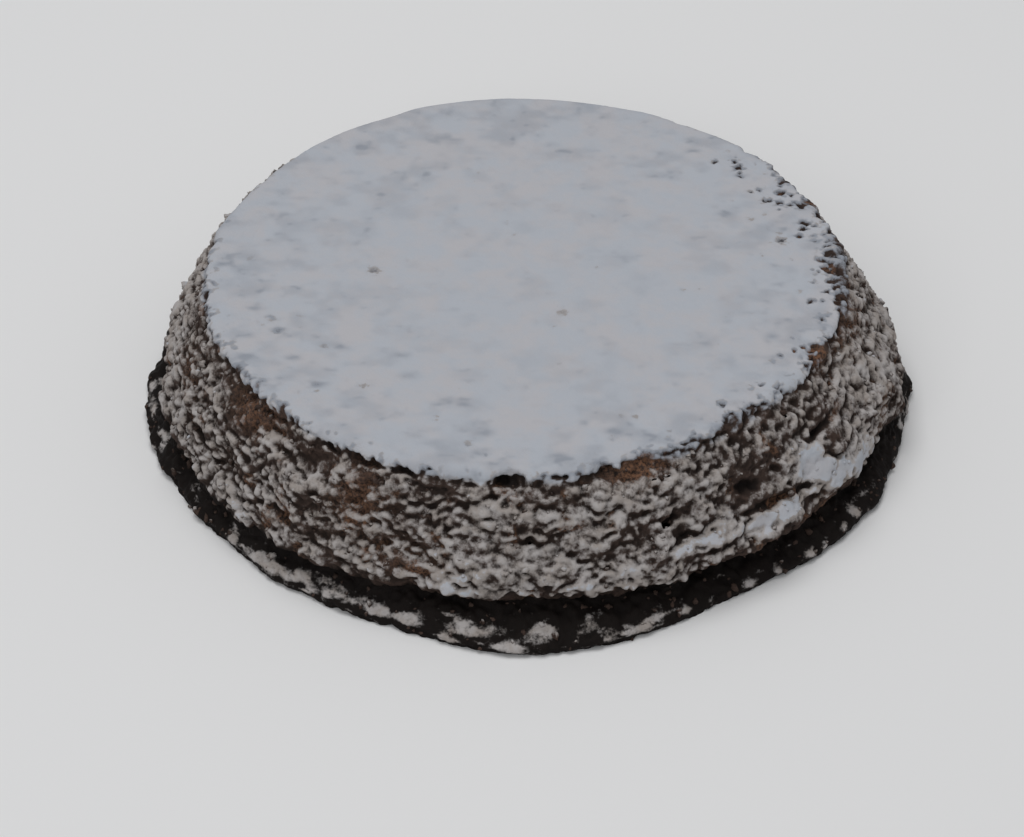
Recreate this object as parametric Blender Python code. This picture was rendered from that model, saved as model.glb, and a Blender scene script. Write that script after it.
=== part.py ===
"""A round chocolate cake, turned out upside down from a flared tin: one solid, in metres, +Z up.

The narrow, flat top is the side that lay on the tin's bottom. The crumbly wall flares down to a
thin lip of crust, which rose over the tin's rim and is now the foot that the cake stands on.
Azimuths are in degrees, counter-clockwise from +X; the front of the cake is at -90.
"""

import math
import random
from typing import NamedTuple

import bmesh
import bpy

# Driving dimensions
FOOT_DIAMETER = 0.237  # the wall where it meets the lip of crust
TOP_DIAMETER = 0.199  # the flat top
HEIGHT = 0.050
WALL_CURVE = 1.75  # power of the wall's outline: 1 is a straight cone, more is a rounder shoulder
EDGE_ROUND = 0.0030  # how far down and in the top edge is rounded

# The lip of crust at the foot, and the groove above it, which is deepest towards the front
LIP_OUT = 0.0024
LIP_MIDDLE = 0.0024
LIP_HALF_HEIGHT = 0.0028
LIP_WAVER = 0.45  # share of LIP_OUT by which the lip comes and goes around the foot
LIP_WAVES = (3, 5)
LIP_WAVE_START = 0.7
GROOVE_DEPTH = 0.0058
GROOVE_MIDDLE = 0.0090
GROOVE_HALF_HEIGHT = 0.0034
GROOVE_WAVER = 0.0010  # how far the groove rises and falls
GROOVE_WAVES = 4
GROOVE_WAVE_START = 1.9
GROOVE_BACK_SHARE = 0.30
GROOVE_FRONT_AZIMUTH = -78.0
GROOVE_FRONT_SPREAD = 56.0

# Unevenness of the whole: out of round, a top that isn't quite level, and lumps of crumb on the wall
OVAL_OUT = 0.0006
OVAL_AZIMUTH = 8.0
TOP_SWELL = 0.0005
TOP_WAVES = (31.0, 27.0)  # radians per metre, along X and Y
TOP_WAVE_START = 0.6
TOP_FADE = 8  # power: how fast the top's swell dies away down the wall
EDGE_FADE = 6  # power: how fast the wall's lumps die away over the top
LUMP_COUNT = 190
LUMP_SEED = 7
LUMP_OUT = 0.0019  # at most
LUMP_HALF_WIDTHS = (0.0045, 0.0100)
LUMP_HALF_HEIGHTS = (0.0030, 0.0060)
LUMP_HEIGHTS = (0.0010, 0.0450)

# Fineness
MERGE = 0.00001
COLUMNS = 120
LIP_ROWS = 9
WALL_ROWS = 11
EDGE_ROWS = 3
TOP_RINGS = (0.93, 0.72, 0.40)  # shares of the top's radius

CRUMB_COLOUR = (0.060, 0.034, 0.024, 1.0)


class Swell(NamedTuple):
    """A soft bump or dent: where it is on the wall, its half sizes along it, and how far it stands out."""

    azimuth: float
    height: float
    half_width: float
    half_height: float
    out: float


FEATURES = {
    "front of the lip": Swell(-88, 0.001, 0.036, 0.006, 0.0064),
    "left of the lip": Swell(-140, 0.002, 0.024, 0.006, -0.0020),
    "right of the lip": Swell(-54, 0.002, 0.026, 0.006, -0.0026),
    "sugared ledge": Swell(-33, 0.022, 0.015, 0.0070, 0.0040),
    "hollow under the ledge": Swell(-37, 0.011, 0.020, 0.0045, -0.0030),
    "lower ledge": Swell(-49, 0.018, 0.011, 0.0040, 0.0026),
    "hollow under the lower ledge": Swell(-54, 0.010, 0.016, 0.0040, -0.0024),
    "hollow above the lower ledge": Swell(-52, 0.034, 0.009, 0.0045, -0.0030),
    "smooth lump on the right": Swell(-8, 0.025, 0.010, 0.0060, 0.0024),
    "smooth lump beside it": Swell(-17, 0.028, 0.008, 0.0050, 0.0020),
    "hollow right of the front": Swell(-65, 0.029, 0.009, 0.0045, -0.0026),
    "hollow left of the front": Swell(-110, 0.024, 0.012, 0.0070, -0.0022),
    "bulge above the groove": Swell(-90, 0.019, 0.034, 0.0060, 0.0018),
    "chipped edge": Swell(-69, 0.048, 0.009, 0.0040, -0.0034),
    "notch in the front edge": Swell(-92, 0.048, 0.005, 0.0030, -0.0034),
    "small notch beside it": Swell(-76, 0.049, 0.004, 0.0025, -0.0030),
    "worn edge on the right": Swell(-42, 0.048, 0.040, 0.0060, -0.0036),
    "full edge on the left": Swell(-112, 0.046, 0.040, 0.0060, 0.0016),
    "worn edge at the back": Swell(118, 0.048, 0.016, 0.0050, -0.0016),
    "ledge at the back": Swell(72, 0.020, 0.014, 0.0060, 0.0030),
    "hollow at the back": Swell(96, 0.030, 0.014, 0.0060, -0.0026),
    "flat left side": Swell(176, 0.022, 0.090, 0.036, -0.0024),
    "drawn-in edge at the back left": Swell(142, 0.048, 0.036, 0.0100, -0.0018),
    "full right side": Swell(-4, 0.017, 0.060, 0.013, 0.0032),
    "hollow on the left": Swell(166, 0.026, 0.012, 0.0060, -0.0018),
}


def lumps():
    """Many small swells, scattered over the wall."""
    draw = random.Random(LUMP_SEED)
    return [
        Swell(
            draw.uniform(-180, 180),
            draw.uniform(*LUMP_HEIGHTS),
            draw.uniform(*LUMP_HALF_WIDTHS),
            draw.uniform(*LUMP_HALF_HEIGHTS),
            draw.uniform(-LUMP_OUT, LUMP_OUT),
        )
        for _ in range(LUMP_COUNT)
    ]


def wall_radius(height):
    """The turned outline of the wall: a rounded cone."""
    share = height / HEIGHT
    return FOOT_DIAMETER / 2 - (FOOT_DIAMETER - TOP_DIAMETER) / 2 * share**WALL_CURVE


def foot(azimuth, height):
    """How far the lip stands out, less how deep the groove above it cuts in, at a place."""
    turn = math.radians(azimuth)
    first, second = (waves * turn for waves in LIP_WAVES)
    come_and_go = 1 + LIP_WAVER * math.sin(first + LIP_WAVE_START) * math.cos(second)
    lip = LIP_OUT * come_and_go * math.exp(-(((height - LIP_MIDDLE) / LIP_HALF_HEIGHT) ** 2))
    from_front = ((azimuth - GROOVE_FRONT_AZIMUTH + 180) % 360 - 180) / GROOVE_FRONT_SPREAD
    share = GROOVE_BACK_SHARE + (1 - GROOVE_BACK_SHARE) * math.exp(-(from_front**2))
    middle = GROOVE_MIDDLE + GROOVE_WAVER * math.sin(GROOVE_WAVES * turn + GROOVE_WAVE_START)
    return lip - GROOVE_DEPTH * share * math.exp(-(((height - middle) / GROOVE_HALF_HEIGHT) ** 2))


def turned_at(azimuth, height, swell):
    """How far one swell pushes the wall out at a place."""
    turn = math.radians((azimuth - swell.azimuth + 180) % 360 - 180)
    along = turn * FOOT_DIAMETER / 2 / swell.half_width
    up = (height - swell.height) / swell.half_height
    return swell.out * math.exp(-(along**2) - up**2)


def relief(azimuth, height, swells):
    """How far the wall stands out of the turned outline at a place."""
    oval = OVAL_OUT * math.cos(2 * math.radians(azimuth - OVAL_AZIMUTH))
    return oval + foot(azimuth, height) + sum(turned_at(azimuth, height, s) for s in swells)


def outline():
    """(radius, height) of the profile, from the foot's lower edge up the wall and in over the top."""
    lip_top = GROOVE_MIDDLE + GROOVE_HALF_HEIGHT
    edge_base = HEIGHT - EDGE_ROUND
    heights = [lip_top * i / LIP_ROWS for i in range(LIP_ROWS)]
    heights += [lip_top + (edge_base - lip_top) * i / WALL_ROWS for i in range(WALL_ROWS)]
    wall = [(wall_radius(h), h) for h in heights]
    start = wall_radius(edge_base)
    angles = [math.pi / 2 * i / EDGE_ROWS for i in range(EDGE_ROWS + 1)]
    edge = [
        (start - EDGE_ROUND * (1 - math.cos(a)), edge_base + EDGE_ROUND * math.sin(a))
        for a in angles
    ]
    top = [(edge[-1][0] * share, HEIGHT) for share in TOP_RINGS]
    return [*wall, *edge, *top, (0.0, HEIGHT)]


def turned_body(mesh):
    """Spins the profile about +Z, and closes the foot with one flat face."""
    bm = bmesh.new()
    line = [bm.verts.new((r, 0, h)) for r, h in outline()]
    edges = [bm.edges.new(pair) for pair in zip(line, line[1:])]
    bmesh.ops.spin(
        bm,
        geom=[*line, *edges],
        cent=(0, 0, 0),
        axis=(0, 0, 1),
        angle=math.tau,
        steps=COLUMNS,
        use_duplicate=False,
    )
    bmesh.ops.remove_doubles(bm, verts=bm.verts, dist=MERGE)
    rim = [e for e in bm.edges if e.is_boundary]
    bmesh.ops.edgeloop_fill(bm, edges=rim)
    bmesh.ops.recalc_face_normals(bm, faces=bm.faces)
    bm.to_mesh(mesh)
    bm.free()


def top_swell(x, y, height):
    """How far a place is lifted, or sinks, because the top isn't quite level."""
    along_x, along_y = (waves * at for waves, at in zip(TOP_WAVES, (x, y)))
    wave = math.sin(along_x + TOP_WAVE_START) * math.cos(along_y) - 1
    return TOP_SWELL * wave * (height / HEIGHT) ** TOP_FADE


def roughen(mesh):
    """Pushes the wall in and out, and swells the top a little. The foot stays flat."""
    swells = [*FEATURES.values(), *lumps()]
    for vertex in mesh.vertices:
        x, y, z = vertex.co
        radius = math.hypot(x, y)
        if radius < MERGE:
            continue
        azimuth = math.degrees(math.atan2(y, x))
        edge_share = min(1.0, radius * 2 / TOP_DIAMETER) ** EDGE_FADE
        scale = 1 + relief(azimuth, z, swells) * edge_share / radius
        vertex.co = (x * scale, y * scale, z + top_swell(x, y, z))


def centre_on_origin(mesh):
    """Moves the cake so that its box stands with the middle of its underside at the origin."""
    spans = [[v.co[axis] for v in mesh.vertices] for axis in range(2)]
    x_middle, y_middle = ((min(s) + max(s)) / 2 for s in spans)
    for vertex in mesh.vertices:
        vertex.co.x -= x_middle
        vertex.co.y -= y_middle


def crumb_material():
    """Dark, dull chocolate crumb."""
    material = bpy.data.materials.new("chocolate_crumb")
    material.use_nodes = True
    shader = material.node_tree.nodes["Principled BSDF"]
    shader.inputs["Base Color"].default_value = CRUMB_COLOUR
    shader.inputs["Roughness"].default_value = 0.85
    shader.inputs["Metallic"].default_value = 0.0
    return material


def main():
    """Builds the cake as one named object."""
    for old in list(bpy.data.objects):
        bpy.data.objects.remove(old)
    mesh = bpy.data.meshes.new("cake")
    turned_body(mesh)
    roughen(mesh)
    centre_on_origin(mesh)
    mesh.shade_smooth()
    mesh.materials.append(crumb_material())
    cake = bpy.data.objects.new("cake", mesh)
    bpy.context.scene.collection.objects.link(cake)


main()
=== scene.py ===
"""A round chocolate cake, turned out of a flared tin and dusted with icing sugar.

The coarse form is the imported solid's own: a rounded cone with a groove and a lip of crust at its
foot. The crumb is worked out on a fine grid over that form, and sugar settles on what faces up and
lies open to the sky. Sizes are in metres, and azimuths in degrees, counter-clockwise from +X; the
front of the cake is at -90.
"""

import itertools
import logging
import math
import random
from dataclasses import dataclass, field
from enum import Enum

import bpy
import numpy as np
from mathutils import Matrix


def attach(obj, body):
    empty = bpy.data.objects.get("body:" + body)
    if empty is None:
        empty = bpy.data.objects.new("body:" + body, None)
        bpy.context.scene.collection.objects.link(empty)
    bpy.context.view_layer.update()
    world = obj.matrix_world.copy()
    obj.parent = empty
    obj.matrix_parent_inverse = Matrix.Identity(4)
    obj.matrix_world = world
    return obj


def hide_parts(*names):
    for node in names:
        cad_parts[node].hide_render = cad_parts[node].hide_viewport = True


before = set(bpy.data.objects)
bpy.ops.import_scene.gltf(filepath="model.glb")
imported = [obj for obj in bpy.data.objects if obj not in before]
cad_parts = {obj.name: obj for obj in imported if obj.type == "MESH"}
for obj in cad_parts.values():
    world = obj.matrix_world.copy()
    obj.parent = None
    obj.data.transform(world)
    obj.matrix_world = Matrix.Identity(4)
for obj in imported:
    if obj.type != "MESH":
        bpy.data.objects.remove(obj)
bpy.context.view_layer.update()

LOG = logging.getLogger("chocolate_cake")
BODY = "root"
NODE = "cake"
GIRTH_RADIUS = 0.115  # turns degrees into a distance along the wall
WALL_FOOT, WALL_TOP = 0.014, 0.044  # the wall's heights, clear of the groove and of the edge
MOST_NOTCH = 1.2  # where notches overlap

Colour = tuple[float, float, float]


class Slot(Enum):
    """The record's material slots."""

    CRUMB = "chocolate_crumb"
    SUGAR = "icing_sugar"


def smooth_step(low: float, high: float, value: np.ndarray) -> np.ndarray:
    """A soft step: 3 t squared less 2 t cubed, with t the value's share of the way from low to high.

    Args:
        low: Where the step starts. It may be above high, for a step down.
        high: Where the step ends.
        value: The values to step.

    Returns:
        Numbers from 0 to 1.
    """
    share = np.clip((value - low) / (high - low), 0.0, 1.0)
    return share * share * (3.0 - 2.0 * share)


def bell(offset: np.ndarray) -> np.ndarray:
    """A soft hill: e to the power of minus the offset squared."""
    return np.exp(-(offset**2))


def unit(vectors: np.ndarray) -> np.ndarray:
    """The vectors, each divided by its own length."""
    return vectors / np.maximum(np.linalg.norm(vectors, axis=-1, keepdims=True), 1e-12)


def blurred(values: np.ndarray, rows: float, columns: float) -> np.ndarray:
    """Numbers on a ring of cells, each replaced by a bell-weighted average of those around it.

    The average is a product in the Fourier transform, because a bell's transform is a bell.

    Args:
        values: Rows and columns, the columns going round.
        rows: The bell's half width, in rows.
        columns: The same, in columns.

    Returns:
        The averages.
    """
    margin = int(4 * rows) + 1
    tall = np.pad(values, ((margin, margin), (0, 0)), mode="edge")
    up = np.fft.fftfreq(tall.shape[0])[:, None] * rows
    around = np.fft.rfftfreq(tall.shape[1])[None] * columns
    kept = np.exp(-2 * np.pi**2 * (up**2 + around**2))
    return np.fft.irfft2(np.fft.rfft2(tall) * kept, s=tall.shape)[margin:-margin]


@dataclass(frozen=True)
class Lattice:
    """Seeded noise, from random numbers at the corners of a cubic lattice."""

    seed: int

    def bits(self, corner: np.ndarray) -> np.ndarray:
        """32 bits for each corner: its three whole numbers, times large odd ones, are mixed twice.

        Args:
            corner: Whole numbers, with the last axis holding x, y and z.

        Returns:
            Whole numbers.
        """
        x, y, z = (corner[..., axis].astype(np.int64) for axis in range(3))
        mixed = x * 73856093 ^ y * 19349663 ^ z * 83492791 ^ (self.seed * 2654435761)
        mixed &= 0xFFFFFFFF
        for _ in range(2):
            mixed = ((mixed ^ (mixed >> 16)) * 0x45D9F3B) & 0xFFFFFFFF
        return mixed ^ (mixed >> 16)

    def smooth(self, points: np.ndarray, size: float) -> np.ndarray:
        """Value noise: the eight corners' numbers around a point, blended by soft steps along each axis.

        Args:
            points: Places, with the last axis holding x, y and z.
            size: The lattice's spacing.

        Returns:
            Numbers from -1 to 1.
        """
        place = points / size
        corner = np.floor(place)
        share = place - corner
        share = share * share * (3.0 - 2.0 * share)
        total = np.zeros(points.shape[:-1])
        for step in itertools.product((0, 1), repeat=3):
            weight = np.prod(np.where(np.array(step) == 1, share, 1.0 - share), axis=-1)
            total += weight * self.bits(corner + step)
        return 2.0 * total / 4294967296.0 - 1.0

    def layered(self, points: np.ndarray, size: float, layers: int = 3) -> np.ndarray:
        """Value noise at several sizes, each half the last one's size and 0.55 of its strength.

        Args:
            points: Places.
            size: The coarsest layer's spacing.
            layers: How many sizes are added.

        Returns:
            Numbers mostly from -1 to 1.
        """
        strengths = [0.55**k for k in range(layers)]
        parts = [s * self.smooth(points + 7.1 * k, size / 2**k) for k, s in enumerate(strengths)]
        return sum(parts) / sum(strengths)

    def domes(self, points: np.ndarray, size: float, least: float, most: float) -> np.ndarray:
        """How high the highest of the balls around a point stands over it.

        Each lattice cell holds one ball; the cell's bits, eight at a time, give its place and radius.
        Over a point, a ball stands as high as the square root of its radius squared less its distance
        squared.

        Args:
            points: Places.
            size: The cell's width.
            least: The smallest ball's radius, as a share of the cell's width.
            most: The largest ball's radius, 1 at most, so that only a cell's neighbours can reach it.

        Returns:
            Heights as shares of the cell's width, from 0 where no ball reaches.
        """
        place = points / size
        cell = np.floor(place)
        highest = np.zeros(points.shape[:-1])
        for step in itertools.product((-1, 0, 1), repeat=3):
            near = cell + step
            bits = self.bits(near)
            centre = near + np.stack([(bits >> shift & 255) / 256 for shift in (0, 8, 16)], axis=-1)
            radius = least + (most - least) * (bits >> 24) / 256
            over = radius**2 - np.sum((place - centre) ** 2, axis=-1)
            highest = np.maximum(highest, np.sqrt(np.maximum(over, 0.0)))
        return highest


@dataclass(frozen=True)
class Swell:
    """A soft bump, dent or patch on the wall, with its half sizes along it and its strength."""

    azimuth: float
    height: float
    half_width: float
    half_height: float
    strength: float

    def over(self, azimuth: np.ndarray, height: np.ndarray, girth_radius: float) -> np.ndarray:
        """The strength at each place: times a bell of the distance along and up, in half sizes.

        Args:
            azimuth: The places' azimuths.
            height: The places' heights.
            girth_radius: The radius that turns degrees into a distance along the wall.

        Returns:
            The swell's strength at each place.
        """
        turn = np.radians((azimuth - self.azimuth + 180.0) % 360.0 - 180.0)
        along = turn * girth_radius / self.half_width
        up = (height - self.height) / self.half_height
        return self.strength * np.exp(-(along**2) - up**2)


def added(swells: tuple[Swell, ...], azimuth: np.ndarray, height: np.ndarray) -> np.ndarray:
    """What several swells come to at each place of the wall."""
    return sum(swell.over(azimuth, height, GIRTH_RADIUS) for swell in swells)


def named_swells() -> list[Swell]:
    """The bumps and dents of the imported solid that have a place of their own.

    Returns:
        The swells, in metres.
    """
    return [
        Swell(-88, 0.001, 0.036, 0.006, 0.0064),  # front of the lip
        Swell(-140, 0.002, 0.024, 0.006, -0.0020),  # left of the lip
        Swell(-54, 0.002, 0.026, 0.006, -0.0026),  # right of the lip
        Swell(-33, 0.022, 0.015, 0.0070, 0.0040),  # sugared ledge
        Swell(-37, 0.011, 0.020, 0.0045, -0.0030),  # hollow under the ledge
        Swell(-49, 0.018, 0.011, 0.0040, 0.0026),  # lower ledge
        Swell(-54, 0.010, 0.016, 0.0040, -0.0024),  # hollow under the lower ledge
        Swell(-52, 0.034, 0.009, 0.0045, -0.0030),  # hollow above the lower ledge
        Swell(-8, 0.025, 0.010, 0.0060, 0.0024),  # smooth lump on the right
        Swell(-17, 0.028, 0.008, 0.0050, 0.0020),  # smooth lump beside it
        Swell(-65, 0.029, 0.009, 0.0045, -0.0026),  # hollow right of the front
        Swell(-110, 0.024, 0.012, 0.0070, -0.0022),  # hollow left of the front
        Swell(-90, 0.019, 0.034, 0.0060, 0.0018),  # bulge above the groove
        Swell(-69, 0.048, 0.009, 0.0040, -0.0034),  # chipped edge
        Swell(-92, 0.048, 0.005, 0.0030, -0.0034),  # notch in the front edge
        Swell(-76, 0.049, 0.004, 0.0025, -0.0030),  # small notch beside it
        Swell(-42, 0.048, 0.040, 0.0060, -0.0036),  # worn edge on the right
        Swell(-112, 0.046, 0.040, 0.0060, 0.0016),  # full edge on the left
        Swell(118, 0.048, 0.016, 0.0050, -0.0016),  # worn edge at the back
        Swell(72, 0.020, 0.014, 0.0060, 0.0030),  # ledge at the back
        Swell(96, 0.030, 0.014, 0.0060, -0.0026),  # hollow at the back
        Swell(176, 0.022, 0.090, 0.036, -0.0024),  # flat left side
        Swell(142, 0.048, 0.036, 0.0100, -0.0018),  # drawn-in edge at the back left
        Swell(-4, 0.017, 0.060, 0.013, 0.0032),  # full right side
        Swell(166, 0.026, 0.012, 0.0060, -0.0018),  # hollow on the left
    ]


@dataclass
class CakeForm:
    """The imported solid's form: a turned outline, pushed in and out."""

    foot_diameter: float = 0.237
    top_diameter: float = 0.199
    height: float = 0.050
    wall_curve: float = 1.75
    edge_round: float = 0.0030
    lip_out: float = 0.0024
    lip_middle: float = 0.0024
    lip_half_height: float = 0.0028
    lip_waver: float = 0.45
    groove_depth: float = 0.0058
    groove_middle: float = 0.0090
    groove_half_height: float = 0.0034
    groove_waver: float = 0.0010
    groove_back_share: float = 0.30
    groove_front_azimuth: float = -78.0
    groove_front_spread: float = 56.0
    oval_out: float = 0.0006
    oval_azimuth: float = 8.0
    top_swell: float = 0.0005
    lip_waves: tuple[int, int] = (3, 5)
    lip_wave_start: float = 0.7
    groove_waves: int = 4
    groove_wave_start: float = 1.9
    top_waves: tuple[float, float] = (31.0, 27.0)
    top_wave_start: float = 0.6
    top_fade: int = 8
    edge_fade: int = 6
    lump_count: int = 190
    lump_seed: int = 7
    lump_out: float = 0.0019
    lump_half_widths: tuple[float, float] = (0.0045, 0.0100)
    lump_half_heights: tuple[float, float] = (0.0030, 0.0060)
    lump_heights: tuple[float, float] = (0.0010, 0.0450)
    swells: list[Swell] = field(default_factory=named_swells)
    middle: tuple[float, float] = (0.0, 0.0)

    def __post_init__(self) -> None:
        """Adds the scattered lumps, and finds the middle of the form's own box."""
        draw = random.Random(self.lump_seed)
        self.swells += [
            Swell(
                draw.uniform(-180, 180),
                draw.uniform(*self.lump_heights),
                draw.uniform(*self.lump_half_widths),
                draw.uniform(*self.lump_half_heights),
                draw.uniform(-self.lump_out, self.lump_out),
            )
            for _ in range(self.lump_count)
        ]
        azimuth, height = np.meshgrid(np.linspace(-180, 180, 721), np.linspace(0, 0.03, 31))
        points = self.place(azimuth, self.wall_radius(height), height)
        lowest, highest = points.min(axis=(0, 1)), points.max(axis=(0, 1))
        self.middle = tuple((lowest + highest)[:2] / 2)

    def wall_radius(self, height: np.ndarray) -> np.ndarray:
        """The wall's outline: the foot's radius, less a power of the height's share of the way up."""
        taper = (self.foot_diameter - self.top_diameter) / 2
        return self.foot_diameter / 2 - taper * (height / self.height) ** self.wall_curve

    def foot(self, azimuth: np.ndarray, height: np.ndarray) -> np.ndarray:
        """The lip less the groove: two bells of the height, which come and go around the cake.

        Args:
            azimuth: The places' azimuths.
            height: The places' heights.

        Returns:
            How far the wall is pushed out.
        """
        turn = np.radians(azimuth)
        first, second = (waves * turn for waves in self.lip_waves)
        come_and_go = 1 + self.lip_waver * np.sin(first + self.lip_wave_start) * np.cos(second)
        lip = self.lip_out * come_and_go * bell((height - self.lip_middle) / self.lip_half_height)
        from_front = (azimuth - self.groove_front_azimuth + 180.0) % 360.0 - 180.0
        share = bell(from_front / self.groove_front_spread) * (1 - self.groove_back_share)
        share = share + self.groove_back_share
        wave = np.sin(self.groove_waves * turn + self.groove_wave_start)
        middle = self.groove_middle + self.groove_waver * wave
        return lip - self.groove_depth * share * bell((height - middle) / self.groove_half_height)

    def relief(self, azimuth: np.ndarray, height: np.ndarray) -> np.ndarray:
        """How far the wall is pushed out: the oval, the foot and every swell, added."""
        out = self.oval_out * np.cos(2 * np.radians(azimuth - self.oval_azimuth))
        out = out + self.foot(azimuth, height)
        for swell in self.swells:
            out = out + swell.over(azimuth, height, self.foot_diameter / 2)
        return out

    def place(self, azimuth: np.ndarray, radius: np.ndarray, height: np.ndarray) -> np.ndarray:
        """Carries points of the turned outline to the pushed form.

        The radius grows by the relief, which dies away over the top with the sixth power of the
        radius; the top sinks and swells by a product of two sines.

        Args:
            azimuth: The places' azimuths.
            radius: Their radii in the turned outline.
            height: Their heights in it.

        Returns:
            The points, with the middle of the form's box over the origin.
        """
        turn = np.radians(azimuth)
        fade = np.minimum(1.0, radius * 2 / self.top_diameter) ** self.edge_fade
        x, y = radius * np.cos(turn), radius * np.sin(turn)
        wave = np.sin(self.top_waves[0] * x + self.top_wave_start) * np.cos(self.top_waves[1] * y) - 1
        lift = self.top_swell * wave * (height / self.height) ** self.top_fade
        pushed = radius + self.relief(azimuth, height) * fade
        across = pushed * np.cos(turn) - self.middle[0]
        along = pushed * np.sin(turn) - self.middle[1]
        return np.stack([across, along, height + lift], axis=-1)


class Surface:
    """Vertices and faces, gathered as whole arrays and put into one mesh object."""

    def __init__(self, points: np.ndarray) -> None:
        """Starts from the vertices, as rows of x, y and z."""
        self.points = points.reshape(-1, 3)
        self.faces: list[np.ndarray] = []

    def add_faces(self, corners: np.ndarray) -> None:
        """Adds faces, one row of vertex numbers each, counter-clockwise from outside."""
        self.faces.append(corners.reshape(-1, corners.shape[-1]))

    def make(
        self, name: str, material: bpy.types.Material, slot: Slot, outward: np.ndarray | None = None
    ) -> bpy.types.Object:
        """Makes the object, which rides on the cake's body.

        Args:
            name: The piece's name.
            material: Its material.
            slot: The record's material slot; not used.
            outward: The direction that each vertex is shaded with, so that neighbours match at a seam.

        Returns:
            The new object, shaded smooth, at the origin.
        """
        mesh = bpy.data.meshes.new(name)
        mesh.vertices.add(len(self.points))
        mesh.vertices.foreach_set("co", self.points.astype(np.float32).ravel())
        corners = np.concatenate([block.ravel() for block in self.faces])
        sizes = np.concatenate([np.full(len(block), block.shape[1]) for block in self.faces])
        mesh.loops.add(len(corners))
        mesh.loops.foreach_set("vertex_index", corners.astype(np.int32))
        mesh.polygons.add(len(sizes))
        starts = np.concatenate([[0], np.cumsum(sizes)[:-1]])
        mesh.polygons.foreach_set("loop_start", starts.astype(np.int32))
        mesh.update(calc_edges=True)
        mesh.shade_smooth()
        if outward is not None:
            mesh.normals_split_custom_set_from_vertices(outward.reshape(-1, 3))
        mesh.materials.append(material)
        piece = bpy.data.objects.new(name, mesh)
        bpy.context.scene.collection.objects.link(piece)
        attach(piece, BODY)
        triangles = int(np.sum(sizes - 2))
        LOG.info("%s: %d vertices, %d triangles", name, len(self.points), triangles)
        return piece


def mark(piece: bpy.types.Object, name: str, values: np.ndarray) -> None:
    """Writes one number for each vertex, which the piece's material reads.

    Args:
        piece: The object.
        name: The attribute's name.
        values: The numbers, in the vertices' order.
    """
    attribute = piece.data.attributes.new(name, "FLOAT", "POINT")
    attribute.data.foreach_set("value", values.astype(np.float32).ravel())


@dataclass
class Outline:
    """The turned outline, from the foot up the wall and in over the top, and its length from the centre."""

    form: CakeForm
    columns: int = 1680
    stretches: tuple[tuple[float, float, int], ...] = (
        (0.0, 0.0125, 44),
        (0.0125, 0.0290, 54),
        (0.0290, 0.0430, 46),
        (0.0430, 0.0470, 12),
    )
    edge_rows: int = 14
    top_rows: int = 24
    inner_radius: float = 0.0885

    def __post_init__(self) -> None:
        """Works out the rows: heights on the wall's curve, a quarter turn for the edge, then the top."""
        form = self.form
        edge_base = self.stretches[-1][1]
        heights = np.concatenate([np.linspace(*s, endpoint=False) for s in self.stretches])
        start = form.wall_radius(np.array(edge_base))
        turn = np.linspace(0, np.pi / 2, self.edge_rows + 1)
        edge_radii = start - form.edge_round * (1 - np.cos(turn))
        edge_heights = edge_base + form.edge_round * np.sin(turn)
        share = np.linspace(0, 1, self.top_rows + 1)[1:]
        top_radii = edge_radii[-1] + (self.inner_radius - edge_radii[-1]) * share
        self.radii = np.concatenate([form.wall_radius(heights), edge_radii, top_radii])
        self.heights = np.concatenate([heights, edge_heights, np.full(self.top_rows, form.height)])
        steps = np.hypot(np.diff(self.radii), np.diff(self.heights))
        self.along = self.radii[-1] + np.concatenate([np.cumsum(steps[::-1])[::-1], [0.0]])

    def at(self, along: np.ndarray) -> tuple[np.ndarray, np.ndarray]:
        """The radius and the height at a length along the outline, read between the rows.

        Args:
            along: Lengths from the top's centre.

        Returns:
            Radii and heights.
        """
        lengths = np.concatenate([[0.0], self.along[::-1]])
        radii = np.concatenate([[0.0], self.radii[::-1]])
        heights = np.concatenate([[self.form.height], self.heights[::-1]])
        return np.interp(along, lengths, radii), np.interp(along, lengths, heights)

    def lean(self, azimuth: np.ndarray, along: np.ndarray) -> np.ndarray:
        """The turned outline's outward direction: its own direction, turned a quarter.

        Args:
            azimuth: The places' azimuths.
            along: Their lengths along the outline.

        Returns:
            Unit vectors.
        """
        near_radius, near_height = self.at(along - 0.0004)
        far_radius, far_height = self.at(along + 0.0004)
        out, up = near_height - far_height, far_radius - near_radius
        turn = np.radians(azimuth)
        return unit(np.stack([out * np.cos(turn), out * np.sin(turn), up + 0 * turn], axis=-1))

    def quads(self, rows: int) -> np.ndarray:
        """The faces between neighbouring rows and columns; the last column joins the first.

        Args:
            rows: How many rows the grid has.

        Returns:
            Vertex numbers, four for each face.
        """
        row, column = np.meshgrid(np.arange(rows - 1), np.arange(self.columns), indexing="ij")
        after = (column + 1) % self.columns
        here, up = row * self.columns, (row + 1) * self.columns
        return np.stack([here + column, here + after, up + after, up + column], axis=-1)

    def fan(self, row: int, centre: int, upward: bool) -> np.ndarray:
        """The triangles that close one row to a single vertex.

        Args:
            row: The row that is closed.
            centre: The single vertex's number.
            upward: Whether the triangles face up.

        Returns:
            Vertex numbers, three for each face.
        """
        column = np.arange(self.columns)
        here = row * self.columns + column
        after = row * self.columns + (column + 1) % self.columns
        pair = (here, after) if upward else (after, here)
        return np.stack([*pair, np.full(self.columns, centre)], axis=-1)


def facing(points: np.ndarray) -> np.ndarray:
    """The outward direction at each point of a ring: its change along a row, crossed with that across rows.

    Args:
        points: Rows and columns of points, the columns going round.

    Returns:
        Unit vectors.
    """
    along = np.roll(points, -1, axis=1) - np.roll(points, 1, axis=1)
    across = np.gradient(points, axis=0)
    return unit(np.cross(along, across))


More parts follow.
